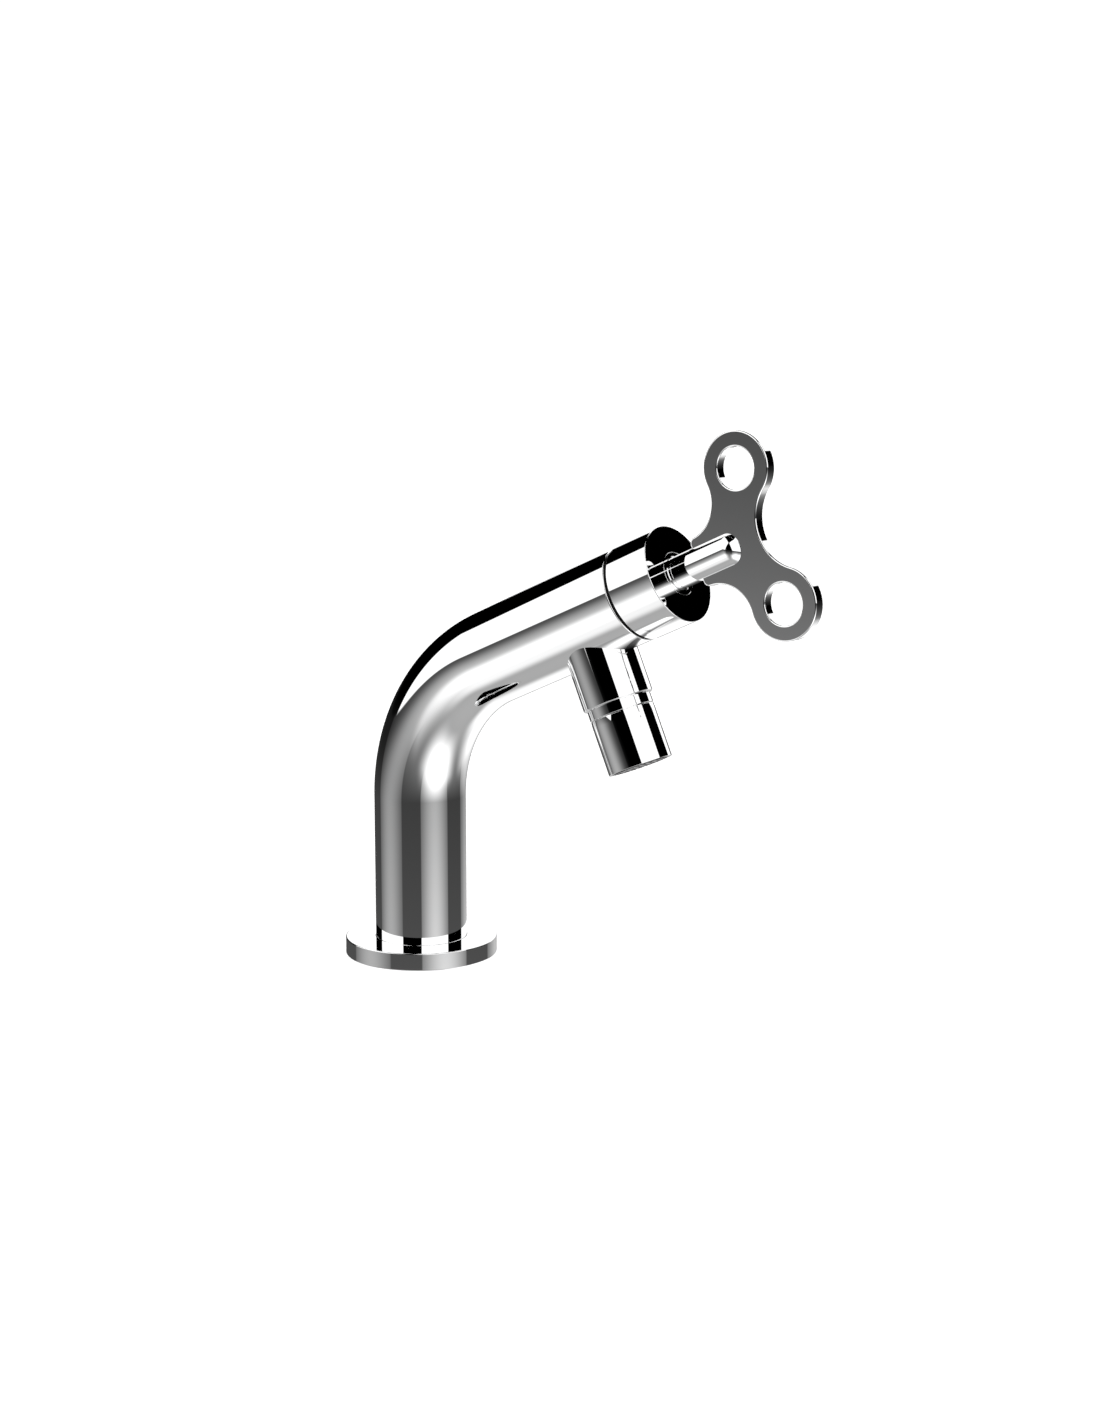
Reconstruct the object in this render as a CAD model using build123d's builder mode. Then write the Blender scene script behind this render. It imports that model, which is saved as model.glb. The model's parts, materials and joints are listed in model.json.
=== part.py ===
"""Deck-mounted pillar tap: bent tube body, aerator spout and a two-lobed key handle on a quarter-turn valve.

Millimetres. +Z is up and the arm rises towards +X. The origin is the centre of the inlet thread in the
flange's flat underside.
"""
from build123d import *
from math import cos, hypot, radians, sin, sqrt
import os

os.makedirs("parts", exist_ok=True)

# Body tube
TUBE_R = 15.05
TUBE_WALL = 2.0
TUBE_FOOT_Z = 1.8
BEND_START_Z = 53.1
BEND_R = 52.7
BEND_ANGLE = 66.2
TUBE_END_AT = 59.58
SEAM_FILLET = 0.4
SLEEVE_START = 60.62
SLEEVE_FILLET = 0.3
SLEEVE_R = 15.15
ARM_END = 76.1
EDGE_CHAMFER = 0.3
FINE_CHAMFER = 0.18
PORT_R = 8.0

# Flange and foot
FLANGE_R = 25.0
FLANGE_H = 5.7
FLANGE_HOLE_R = 15.15
GASKET_IN = 17.0
GASKET_OUT = 22.5
GASKET_T = 1.2
INLET_R = 9.3
INLET_DEPTH = 15.0
INSERT_R = 13.02
INSERT_FOOT_R = 14.95
INSERT_TOP = 24.0
FOOT_BORE = 7.5
FOOT_GROOVE_Z = 19.0
GROOVE_R = 11.2
GROOVE_HALF_W = 1.0
RING_MINOR = 0.85
RING_LIFT = 0.02
FIT_GAP = 0.1
SMALL_GAP = 0.05

# Spout, measured out from the arm's centreline
SPOUT_AT = 40.14
STUB_R = 11.04
STUB_ROOT = 9.0
STUB_END = 28.45
STUB_BORE = 8.0
STUB_THREAD = 9.0
STUB_SHOULDER = 20.0
STUB_SEAL_T = 0.8
SEAL_BORE = 6.6
COLLAR_R = 10.08
COLLAR_START = 28.65
COLLAR_END = 31.75
NIPPLE_BORE = 6.5
SPIGOT_R = 8.2
SPIGOT_END = 38.3
NOZZLE_START = 31.95
NOZZLE_END = 49.15
NOZZLE_MOUTH_R = 8.9
SHELL_BORE = 8.3
SHELL_SHOULDER = 46.3
SHELL_TOP_FILLET = 0.25
MOUTH_CHAMFER = 0.15

# Aerator, on the spout's stations
CARTRIDGE_R = 7.9
CARTRIDGE_START = 39.7
CARTRIDGE_HEAD = 46.4
CARTRIDGE_RIM = 48.95
CARTRIDGE_END = 49.3
KEY_RING_R = 8.35
CARTRIDGE_BORE = 6.9
SLOT_COUNT = 20
SLOT_W = 0.6
SLOT_LENGTH = 3.0
SLOT_DEPTH = 0.6
SLOT_TURN = 9.0
SCREEN_R = 6.88
SCREEN_AT = 40.3
SCREEN_T = 0.6
SCREEN_PITCH = 0.95
SCREEN_ROWS = 7
SCREEN_HOLE_R = 0.35
RESTRICTOR_AT = 42.8
RESTRICTOR_T = 1.5
RESTRICTOR_RING_R = 4.4
RESTRICTOR_HOLES = 8
RESTRICTOR_HOLE_R = 0.6
GRID_AT = 48.05
GRID_T = 1.2
GRID_PITCH = 1.15
GRID_ROWS = 5
GRID_HOLE_R = 0.8

# Valve, measured along the arm from the end of the bend
HOUSING_R = 13.02
HOUSING_START = 24.6
REAR_GROOVE = 28.1
SEAT_AT = 32.6
CHAMBER_END = 44.6
FRONT_GROOVE = 51.6
HOUSING_END = 55.6
SEAT_BORE = 5.0
CHAMBER_R = 10.0
THREAD_R = 10.4
SIDE_PORT_R = 6.0
NOSE_R = 8.6
NOSE_START = 33.6
DISC_CHAMBER_R = 7.0
BARREL_R = 12.0
WINDOW_AT = 41.1
WINDOW_R = 2.2
HEX_START = 56.4
HEX_END = 60.6
HEX_FLATS = 22.0
HEADWORK_END = 70.1
GASKET_INSET = 0.2
SEAL_T = 2.6
DISC_R = 6.6
DISC_T = 3.0
DISC_PORT_R = 4.6
DISC_WEB = 2.2
TONGUE_W = 3.0
TONGUE_T = 1.0
TONGUE_INSET = 0.5
DOG_END = 44.25
STEM_R = 4.0
STEM_FLAT = 3.0
STEM_RING_MINOR = 0.5
STEM_RING_STATIONS = (50.6, 56.6)
STEM_GROOVE_R = 3.0
STEM_GROOVE_HALF_W = 0.6
CLIP_START = 70.3
CLIP_END = 71.1
CLIP_GROOVE_R = 3.4
CLIP_R = 5.3
CLIP_OPENING = 2.4
RUNNING_GAP = 0.05

# End cap and gland
SLEEVE_NECK_R = 13.5
SLEEVE_NECK_BORE = 12.8
FACE_T = 4.0
GLAND_HOLE_R = 6.75
GLAND_R = 6.7
GLAND_BORE = 5.2
GLAND_CHAMFER = 0.12
GLAND_BORE_CHAMFER = 0.25

# Handle, measured out from the arm's end face
ROD_R = 5.12
ROD_FOOT = -4.3
ROD_END = 24.6
ROD_TIP_FILLET = 4.0
SOCKET_END = 7.5
STEM_SHORT_OF_SOCKET = 0.3
FORK_START = 8.45
FORK_CLEARANCE = 0.01
PLATE_T = 4.0
PLATE_START = 8.5
PLATE_EDGE = 0.5
NECK_CORNER = 2.0
LOBE_AT = 31.6
LOBE_OFFSET = 20.85
LOBE_R = 10.9
FINGER_HOLE_R = 6.2
NECK_ARC_AT = 9.7
NECK_ARC_OFFSET = 18.7
NOSE_ARC_AT = 46.1
SCREW_AT = 4.0
SCREW_R = 1.5
SCREW_LENGTH = 1.9
SCREW_SOCKET_R = 0.8
SCREW_SOCKET_FLOOR = 0.9

# How far a cutting tool runs past the surface it cuts
OVERCUT = 1.0

# Directions: along the arm, square up from it, and where the straight arm starts
COS_B = cos(radians(BEND_ANGLE))
SIN_B = sin(radians(BEND_ANGLE))
ARM_DIR = Vector(SIN_B, 0, COS_B)
ARM_UP = Vector(-COS_B, 0, SIN_B)
SIDE = Vector(0, 1, 0)
ARM_START = Vector(BEND_R * (1 - COS_B), 0, BEND_START_Z + BEND_R * SIN_B)
SPOUT_ORIGIN = ARM_START + ARM_DIR * SPOUT_AT
END_CENTRE = ARM_START + ARM_DIR * ARM_END

# Half planes for turned pieces: x is the radius and y runs along the piece's axis
FOOT_HALF = Plane.XZ
ARM_HALF = Plane(origin=ARM_START, x_dir=SIDE, z_dir=-ARM_UP)
SPOUT_HALF = Plane(origin=SPOUT_ORIGIN, x_dir=SIDE, z_dir=-ARM_DIR)
HANDLE_HALF = Plane(origin=END_CENTRE, x_dir=SIDE, z_dir=-ARM_UP)


def arm_plane(station):
    """Plane square to the arm, with its x to the side and its y up."""
    return Plane(origin=ARM_START + ARM_DIR * station, x_dir=SIDE, z_dir=ARM_DIR)


def spout_plane(station):
    """Plane square to the spout, with its x to the side and its y along the arm."""
    return Plane(origin=SPOUT_ORIGIN - ARM_UP * station, x_dir=SIDE, z_dir=-ARM_UP)


def turn(half_plane, points, mode=Mode.ADD):
    """Turn a closed outline of (radius, station) points about the half plane's y axis."""
    with BuildSketch(half_plane) as outline:
        with BuildLine():
            Polyline(*points, close=True)
        make_face()
    revolve(outline.sketch, axis=Axis(half_plane.origin, half_plane.y_dir), mode=mode)


def ring(half_plane, inner, outer, start, end, mode=Mode.ADD):
    """Flat-sided ring between two stations."""
    turn(half_plane, [(inner, start), (outer, start), (outer, end), (inner, end)], mode)


def o_ring(half_plane, major, minor, station):
    """Round-section ring about the half plane's y axis."""
    with BuildSketch(half_plane) as section:
        with Locations((major, station)):
            Circle(minor)
    revolve(section.sketch, axis=Axis(half_plane.origin, half_plane.y_dir))


def save(piece, name):
    """Name a finished piece and write it."""
    piece.part.label = name
    export_step(piece.part, f"parts/{name}.step")


# Flange and foot -----------------------------------------------------------------------------------

with BuildPart() as base_flange:
    ring(FOOT_HALF, FLANGE_HOLE_R, FLANGE_R, 0, FLANGE_H)
    ring(FOOT_HALF, GASKET_IN, GASKET_OUT, 0, GASKET_T, Mode.SUBTRACT)
    top_rim = base_flange.edges().group_by(Axis.Z)[-1].sort_by(SortBy.LENGTH)[-1]
    bottom_rim = base_flange.edges().group_by(Axis.Z)[0].sort_by(SortBy.LENGTH)[-1]
    hole_rim = base_flange.edges().group_by(Axis.Z)[-1].sort_by(SortBy.LENGTH)[0]
    chamfer([top_rim, bottom_rim], EDGE_CHAMFER)
    chamfer(hole_rim, FINE_CHAMFER)
save(base_flange, "base_flange")

with BuildPart() as base_gasket:
    ring(FOOT_HALF, GASKET_IN + FIT_GAP, GASKET_OUT - FIT_GAP, 0, GASKET_T)
save(base_gasket, "base_gasket")

with BuildPart() as base_insert:
    ring(FOOT_HALF, FOOT_BORE, INSERT_R, TUBE_FOOT_Z, INSERT_TOP)
    ring(FOOT_HALF, FOOT_BORE, INSERT_FOOT_R, 0, TUBE_FOOT_Z)
    ring(FOOT_HALF, 0, INLET_R, 0, INLET_DEPTH, Mode.SUBTRACT)
    foot_groove_start = FOOT_GROOVE_Z - GROOVE_HALF_W
    foot_groove_end = FOOT_GROOVE_Z + GROOVE_HALF_W
    ring(FOOT_HALF, GROOVE_R, TUBE_R, foot_groove_start, foot_groove_end, Mode.SUBTRACT)
save(base_insert, "base_insert")

with BuildPart() as base_insert_o_ring:
    o_ring(FOOT_HALF, GROOVE_R + RING_MINOR + RING_LIFT, RING_MINOR, FOOT_GROOVE_Z)
save(base_insert_o_ring, "base_insert_o_ring")

# Body tube: pillar, bend and arm ---------------------------------------------------------------------

TUBE_END = ARM_START + ARM_DIR * TUBE_END_AT
ALONG_ARM = Axis(ARM_START, ARM_DIR)
OUT_OF_SPOUT = Axis(SPOUT_ORIGIN, -ARM_UP)

with BuildPart() as body_tube:
    with BuildLine() as centreline:
        Line((0, 0, TUBE_FOOT_Z), (0, 0, BEND_START_Z))
        TangentArc((0, 0, BEND_START_Z), ARM_START, tangent=(0, 0, 1))
        Line(ARM_START, TUBE_END)
    with BuildSketch(Plane.XY.offset(TUBE_FOOT_Z)):
        Circle(TUBE_R)
        Circle(TUBE_R - TUBE_WALL, mode=Mode.SUBTRACT)
    sweep(path=centreline.wires()[0])
    with BuildSketch(spout_plane(0)) as port:
        Circle(PORT_R)
    extrude(port.sketch, amount=TUBE_R + OVERCUT, mode=Mode.SUBTRACT)
    seam_rim = body_tube.edges().sort_by(ALONG_ARM)[-2:].sort_by(SortBy.LENGTH)[-1]
    fillet(seam_rim, SEAM_FILLET)
save(body_tube, "body_tube")

# Spout --------------------------------------------------------------------------------------------------

with BuildPart() as spout_stub:
    ring(SPOUT_HALF, STUB_BORE, STUB_R, STUB_ROOT, STUB_END)
    ring(SPOUT_HALF, STUB_BORE, STUB_THREAD, STUB_SHOULDER, STUB_END, Mode.SUBTRACT)
    stub_rim = spout_stub.edges().group_by(OUT_OF_SPOUT)[-1].sort_by(SortBy.LENGTH)[-1]
    chamfer(stub_rim, EDGE_CHAMFER)
    ring(ARM_HALF, 0, TUBE_R, SPOUT_AT - STUB_R - OVERCUT, SPOUT_AT + STUB_R + OVERCUT, Mode.SUBTRACT)
save(spout_stub, "spout_stub")

with BuildPart() as stub_seal:
    ring(SPOUT_HALF, SEAL_BORE, STUB_THREAD - FIT_GAP, STUB_SHOULDER, STUB_SHOULDER + STUB_SEAL_T)
save(stub_seal, "stub_seal")

with BuildPart() as spout_nipple:
    ring(SPOUT_HALF, NIPPLE_BORE, STUB_THREAD - SMALL_GAP, STUB_SHOULDER + STUB_SEAL_T, COLLAR_START)
    ring(SPOUT_HALF, NIPPLE_BORE, COLLAR_R, COLLAR_START, COLLAR_END)
    ring(SPOUT_HALF, NIPPLE_BORE, SPIGOT_R, COLLAR_END, SPIGOT_END)
save(spout_nipple, "spout_nipple")

with BuildPart() as nozzle_shell:
    ring(SPOUT_HALF, SHELL_BORE, COLLAR_R, NOZZLE_START, NOZZLE_END)
    ring(SPOUT_HALF, SHELL_BORE, NOZZLE_MOUTH_R, SHELL_SHOULDER, NOZZLE_END, Mode.SUBTRACT)
    shell_top = nozzle_shell.edges().group_by(OUT_OF_SPOUT)[0].sort_by(SortBy.LENGTH)[-1]
    shell_rim = nozzle_shell.edges().group_by(OUT_OF_SPOUT)[-1].sort_by(SortBy.LENGTH)[-1]
    fillet(shell_top, SHELL_TOP_FILLET)
    chamfer(shell_rim, MOUTH_CHAMFER)
save(nozzle_shell, "nozzle_shell")

with BuildPart() as nozzle_seal:
    ring(SPOUT_HALF, SEAL_BORE, SPIGOT_R - FIT_GAP, SPIGOT_END, CARTRIDGE_START)
save(nozzle_seal, "nozzle_seal")

with BuildPart() as aerator_cartridge:
    ring(SPOUT_HALF, CARTRIDGE_BORE, CARTRIDGE_R, CARTRIDGE_START, CARTRIDGE_HEAD)
    ring(SPOUT_HALF, CARTRIDGE_BORE, NOZZLE_MOUTH_R - SMALL_GAP, CARTRIDGE_HEAD, CARTRIDGE_RIM)
    ring(SPOUT_HALF, CARTRIDGE_BORE, KEY_RING_R, CARTRIDGE_RIM, CARTRIDGE_END)
    with BuildSketch(spout_plane(CARTRIDGE_END - SLOT_DEPTH)) as slots:
        with PolarLocations((CARTRIDGE_BORE + NOZZLE_MOUTH_R) / 2, SLOT_COUNT, start_angle=SLOT_TURN):
            Rectangle(SLOT_LENGTH, SLOT_W)
    extrude(slots.sketch, amount=SLOT_DEPTH + OVERCUT, mode=Mode.SUBTRACT)
save(aerator_cartridge, "aerator_cartridge")

with BuildPart() as aerator_screen:
    ring(SPOUT_HALF, 0, SCREEN_R, SCREEN_AT, SCREEN_AT + SCREEN_T)
    with BuildSketch(spout_plane(SCREEN_AT)) as screen_holes:
        with HexLocations(SCREEN_PITCH, SCREEN_ROWS, SCREEN_ROWS):
            Circle(SCREEN_HOLE_R)
    extrude(screen_holes.sketch, amount=SCREEN_T, mode=Mode.SUBTRACT)
save(aerator_screen, "aerator_screen")

with BuildPart() as flow_restrictor:
    ring(SPOUT_HALF, 0, SCREEN_R, RESTRICTOR_AT, RESTRICTOR_AT + RESTRICTOR_T)
    with BuildSketch(spout_plane(RESTRICTOR_AT)) as restrictor_holes:
        with PolarLocations(RESTRICTOR_RING_R, RESTRICTOR_HOLES):
            Circle(RESTRICTOR_HOLE_R)
    extrude(restrictor_holes.sketch, amount=RESTRICTOR_T, mode=Mode.SUBTRACT)
save(flow_restrictor, "flow_restrictor")

with BuildPart() as outlet_grid:
    ring(SPOUT_HALF, 0, SCREEN_R, GRID_AT, GRID_AT + GRID_T)
    with BuildSketch(spout_plane(GRID_AT)) as grid_holes:
        with HexLocations(GRID_PITCH, GRID_ROWS, GRID_ROWS):
            RegularPolygon(GRID_HOLE_R, 6)
    extrude(grid_holes.sketch, amount=GRID_T, mode=Mode.SUBTRACT)
save(outlet_grid, "outlet_grid")

# Valve housing and headwork ------------------------------------------------------------------------------

with BuildPart() as valve_housing:
    ring(ARM_HALF, SEAT_BORE, HOUSING_R, HOUSING_START, HOUSING_END)
    ring(ARM_HALF, 0, CHAMBER_R, SEAT_AT, CHAMBER_END, Mode.SUBTRACT)
    ring(ARM_HALF, 0, THREAD_R, CHAMBER_END, HOUSING_END, Mode.SUBTRACT)
    for groove in (REAR_GROOVE, FRONT_GROOVE):
        ring(ARM_HALF, GROOVE_R, TUBE_R, groove - GROOVE_HALF_W, groove + GROOVE_HALF_W, Mode.SUBTRACT)
    with BuildSketch(spout_plane(0)) as side_port:
        Circle(SIDE_PORT_R)
    extrude(side_port.sketch, amount=TUBE_R, mode=Mode.SUBTRACT)
save(valve_housing, "valve_housing")

with BuildPart() as housing_o_ring_rear:
    o_ring(ARM_HALF, GROOVE_R + RING_MINOR + RING_LIFT, RING_MINOR, REAR_GROOVE)
save(housing_o_ring_rear, "housing_o_ring_rear")

with BuildPart() as housing_o_ring_front:
    o_ring(ARM_HALF, GROOVE_R + RING_MINOR + RING_LIFT, RING_MINOR, FRONT_GROOVE)
save(housing_o_ring_front, "housing_o_ring_front")

with BuildPart() as headwork_body:
    ring(ARM_HALF, STEM_R + RUNNING_GAP, NOSE_R, NOSE_START, CHAMBER_END)
    ring(ARM_HALF, STEM_R + RUNNING_GAP, THREAD_R - SMALL_GAP, CHAMBER_END, HEX_START)
    with BuildSketch(arm_plane(HEX_START)) as hexagon:
        RegularPolygon(HEX_FLATS / 2, 6, major_radius=False)
        Circle(STEM_R + RUNNING_GAP, mode=Mode.SUBTRACT)
    extrude(hexagon.sketch, amount=HEX_END - HEX_START)
    ring(ARM_HALF, STEM_R + RUNNING_GAP, BARREL_R, HEX_END, HEADWORK_END)
    ring(ARM_HALF, 0, DISC_CHAMBER_R, NOSE_START, CHAMBER_END, Mode.SUBTRACT)
    with BuildSketch(Plane(origin=ARM_START + ARM_DIR * WINDOW_AT, x_dir=SIDE, z_dir=ARM_UP)) as window:
        Circle(WINDOW_R)
    extrude(window.sketch, amount=NOSE_R + OVERCUT, both=True, mode=Mode.SUBTRACT)
save(headwork_body, "headwork_body")

with BuildPart() as headwork_gasket:
    ring(ARM_HALF, THREAD_R, HOUSING_R - GASKET_INSET, HOUSING_END, HEX_START)
save(headwork_gasket, "headwork_gasket")

SEAL_END = SEAT_AT + SEAL_T
FIXED_END = SEAL_END + DISC_T
MOVING_START = FIXED_END + RUNNING_GAP
MOVING_END = MOVING_START + DISC_T
WASHER_END = CHAMBER_END - RUNNING_GAP

with BuildPart() as seat_seal:
    ring(ARM_HALF, SEAT_BORE, DISC_CHAMBER_R - FIT_GAP, SEAT_AT, SEAL_END)
save(seat_seal, "seat_seal")


def disc_ports(plane, turned):
    """Two opposite quarter-round ports through a ceramic disc."""
    with BuildSketch(plane) as ports:
        Circle(DISC_PORT_R)
        Rectangle(2 * DISC_PORT_R, DISC_WEB, rotation=turned, mode=Mode.SUBTRACT)
        with Locations(Location((0, 0, 0), (0, 0, turned))):
            with Locations((-DISC_PORT_R, DISC_PORT_R), (DISC_PORT_R, -DISC_PORT_R)):
                Rectangle(2 * DISC_PORT_R - DISC_WEB, 2 * DISC_PORT_R - DISC_WEB, mode=Mode.SUBTRACT)
    extrude(ports.sketch, amount=DISC_T, mode=Mode.SUBTRACT)


with BuildPart() as fixed_disc:
    ring(ARM_HALF, 0, DISC_CHAMBER_R - SMALL_GAP, SEAL_END, FIXED_END)
    disc_ports(arm_plane(SEAL_END), 0)
save(fixed_disc, "fixed_disc")

with BuildPart() as moving_disc:
    ring(ARM_HALF, 0, DISC_R, MOVING_START, MOVING_END)
    disc_ports(arm_plane(MOVING_START), 90)
    with BuildSketch(arm_plane(MOVING_END - TONGUE_T)) as tongue_slot:
        Rectangle(2 * DISC_R, TONGUE_W + SMALL_GAP, rotation=45)
    extrude(tongue_slot.sketch, amount=TONGUE_T + OVERCUT, mode=Mode.SUBTRACT)
save(moving_disc, "moving_disc")

STEM_END = ARM_END + SOCKET_END - STEM_SHORT_OF_SOCKET
FLAT_START = ARM_END + ROD_FOOT

with BuildPart() as spindle:
    ring(ARM_HALF, 0, DISC_R, MOVING_END, DOG_END)
    ring(ARM_HALF, 0, STEM_R, DOG_END, STEM_END)
    for station in STEM_RING_STATIONS:
        groove_start = station - STEM_GROOVE_HALF_W
        groove_end = station + STEM_GROOVE_HALF_W
        ring(ARM_HALF, STEM_GROOVE_R, STEM_R + OVERCUT, groove_start, groove_end, Mode.SUBTRACT)
    ring(ARM_HALF, CLIP_GROOVE_R, STEM_R + OVERCUT, CLIP_START, CLIP_END, Mode.SUBTRACT)
    with BuildSketch(arm_plane(MOVING_END - TONGUE_T + RING_LIFT)) as tongue:
        Rectangle(2 * (DISC_R - TONGUE_INSET), TONGUE_W, rotation=45)
    extrude(tongue.sketch, amount=TONGUE_T)
    with BuildSketch(arm_plane(FLAT_START)) as flat:
        with Locations((STEM_FLAT + STEM_R / 2, 0)):
            Rectangle(STEM_R, 3 * STEM_R)
    extrude(flat.sketch, amount=STEM_END - FLAT_START + OVERCUT, mode=Mode.SUBTRACT)
save(spindle, "spindle")

with BuildPart() as spindle_o_ring_inner:
    o_ring(ARM_HALF, STEM_GROOVE_R + STEM_RING_MINOR, STEM_RING_MINOR - RING_LIFT, STEM_RING_STATIONS[0])
save(spindle_o_ring_inner, "spindle_o_ring_inner")

with BuildPart() as spindle_o_ring_outer:
    o_ring(ARM_HALF, STEM_GROOVE_R + STEM_RING_MINOR, STEM_RING_MINOR - RING_LIFT, STEM_RING_STATIONS[1])
save(spindle_o_ring_outer, "spindle_o_ring_outer")

with BuildPart() as slip_washer:
    ring(ARM_HALF, STEM_R + RING_LIFT, DISC_R, DOG_END, WASHER_END)
save(slip_washer, "slip_washer")

with BuildPart() as circlip:
    with BuildSketch(arm_plane(CLIP_START + RING_LIFT)) as clip:
        Circle(CLIP_R)
        Circle(CLIP_GROOVE_R + RING_LIFT, mode=Mode.SUBTRACT)
        with Locations((0, CLIP_R)):
            Rectangle(CLIP_OPENING, CLIP_R + OVERCUT, mode=Mode.SUBTRACT)
    extrude(clip.sketch, amount=CLIP_END - CLIP_START - 2 * RING_LIFT)
save(circlip, "circlip")

# End cap -------------------------------------------------------------------------------------------------

with BuildPart() as bonnet_sleeve:
    ring(ARM_HALF, BARREL_R + SMALL_GAP, SLEEVE_R, SLEEVE_START, ARM_END)
    ring(ARM_HALF, GLAND_HOLE_R, BARREL_R + SMALL_GAP, ARM_END - FACE_T, ARM_END)
    end_edges = bonnet_sleeve.edges().group_by(ALONG_ARM)[-1].sort_by(SortBy.LENGTH)
    seam_edge = bonnet_sleeve.edges().group_by(ALONG_ARM)[0].sort_by(SortBy.LENGTH)[-1]
    fillet(seam_edge, SLEEVE_FILLET)
    chamfer(end_edges[-1], FINE_CHAMFER)
    chamfer(end_edges[0], GLAND_CHAMFER)
    ring(ARM_HALF, SLEEVE_NECK_BORE, SLEEVE_NECK_R, TUBE_END_AT + SMALL_GAP, SLEEVE_START)
save(bonnet_sleeve, "bonnet_sleeve")

with BuildPart() as gland_ring:
    ring(ARM_HALF, GLAND_BORE, GLAND_R, ARM_END - FACE_T, ARM_END)
    gland_edges = gland_ring.edges().group_by(ALONG_ARM)[-1].sort_by(SortBy.LENGTH)
    chamfer(gland_edges[-1], GLAND_CHAMFER)
    chamfer(gland_edges[0], GLAND_BORE_CHAMFER)
save(gland_ring, "gland_ring")

# Handle --------------------------------------------------------------------------------------------------

PLATE_PLANE = Plane(origin=END_CENTRE, x_dir=ARM_DIR, z_dir=(0, -1, 0))
SCREW_PLANE = Plane(origin=END_CENTRE + ARM_DIR * SCREW_AT, x_dir=ARM_DIR, z_dir=SIDE)

with BuildPart() as handle_rod:
    ring(HANDLE_HALF, 0, ROD_R, ROD_FOOT, ROD_END)
    fillet(handle_rod.edges().group_by(ALONG_ARM)[-1], ROD_TIP_FILLET)
    ring(HANDLE_HALF, 0, STEM_R + RUNNING_GAP, ROD_FOOT, SOCKET_END, Mode.SUBTRACT)
    with BuildSketch(PLATE_PLANE) as fork:
        with Locations((FORK_START + ROD_END / 2, 0)):
            Rectangle(ROD_END, 2 * ROD_R + OVERCUT)
    extrude(fork.sketch, amount=PLATE_T / 2 + FORK_CLEARANCE, both=True, mode=Mode.SUBTRACT)
    with BuildSketch(SCREW_PLANE) as screw_hole:
        Circle(SCREW_R)
    extrude(screw_hole.sketch, amount=ROD_R + OVERCUT, mode=Mode.SUBTRACT)
save(handle_rod, "handle_rod")


def from_lobe(sign, towards, radius):
    """Point on a lobe's circle in the direction of another arc's centre."""
    reach = hypot(towards[0] - LOBE_AT, towards[1] - sign * LOBE_OFFSET)
    across = (towards[0] - LOBE_AT) * radius / reach
    up = (towards[1] - sign * LOBE_OFFSET) * radius / reach
    return (LOBE_AT + across, sign * LOBE_OFFSET + up)


NECK_ARC_R = hypot(LOBE_AT - NECK_ARC_AT, LOBE_OFFSET - NECK_ARC_OFFSET) - LOBE_R
NOSE_ARC_R = hypot(LOBE_AT - NOSE_ARC_AT, LOBE_OFFSET) - LOBE_R
NECK_HALF_W = NECK_ARC_OFFSET - sqrt(NECK_ARC_R**2 - (PLATE_START - NECK_ARC_AT) ** 2)
LOBE_FAR = LOBE_R / sqrt(2)

with BuildPart() as handle_plate:
    with BuildSketch(PLATE_PLANE) as key_outline:
        with BuildLine():
            Line((PLATE_START, -NECK_HALF_W), (PLATE_START, NECK_HALF_W))
            for sign in (1, -1):
                neck_centre = (NECK_ARC_AT, sign * NECK_ARC_OFFSET)
                neck_touch = from_lobe(sign, neck_centre, LOBE_R)
                nose_touch = from_lobe(sign, (NOSE_ARC_AT, 0), LOBE_R)
                lobe_top = (LOBE_AT + LOBE_FAR, sign * (LOBE_OFFSET + LOBE_FAR))
                neck_angle = radians(-45)
                neck_middle = (
                    neck_centre[0] + NECK_ARC_R * cos(neck_angle),
                    neck_centre[1] + sign * NECK_ARC_R * sin(neck_angle),
                )
                ThreePointArc((PLATE_START, sign * NECK_HALF_W), neck_middle, neck_touch)
                ThreePointArc(neck_touch, lobe_top, nose_touch)
            nose_low = from_lobe(-1, (NOSE_ARC_AT, 0), LOBE_R)
            nose_high = from_lobe(1, (NOSE_ARC_AT, 0), LOBE_R)
            ThreePointArc(nose_high, (NOSE_ARC_AT - NOSE_ARC_R, 0), nose_low)
        make_face()
        with Locations((LOBE_AT, LOBE_OFFSET), (LOBE_AT, -LOBE_OFFSET)):
            Circle(FINGER_HOLE_R, mode=Mode.SUBTRACT)
        neck_corners = key_outline.vertices().sort_by(Axis(END_CENTRE, ARM_DIR))[:2]
        fillet(neck_corners, NECK_CORNER)
    extrude(key_outline.sketch, amount=PLATE_T / 2, both=True)
    face_edges = handle_plate.faces().filter_by(Axis.Y).sort_by(SortBy.AREA)[-2:].edges()
    fillet(face_edges, PLATE_EDGE)
save(handle_plate, "handle_plate")

with BuildPart() as handle_set_screw:
    with BuildSketch(SCREW_PLANE.offset(STEM_FLAT + RING_LIFT)) as shank:
        Circle(SCREW_R - SMALL_GAP)
    extrude(shank.sketch, amount=SCREW_LENGTH)
    with BuildSketch(SCREW_PLANE.offset(STEM_FLAT + SCREW_SOCKET_FLOOR)) as key_socket:
        RegularPolygon(SCREW_SOCKET_R, 6)
    extrude(key_socket.sketch, amount=SCREW_LENGTH, mode=Mode.SUBTRACT)
save(handle_set_screw, "handle_set_screw")
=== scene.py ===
"""Looks of the pillar tap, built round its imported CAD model. Metres, +Z up; the arm rises towards +X."""
import json
import math

import bpy
import numpy as np
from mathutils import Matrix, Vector
from mathutils.geometry import tessellate_polygon


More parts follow.
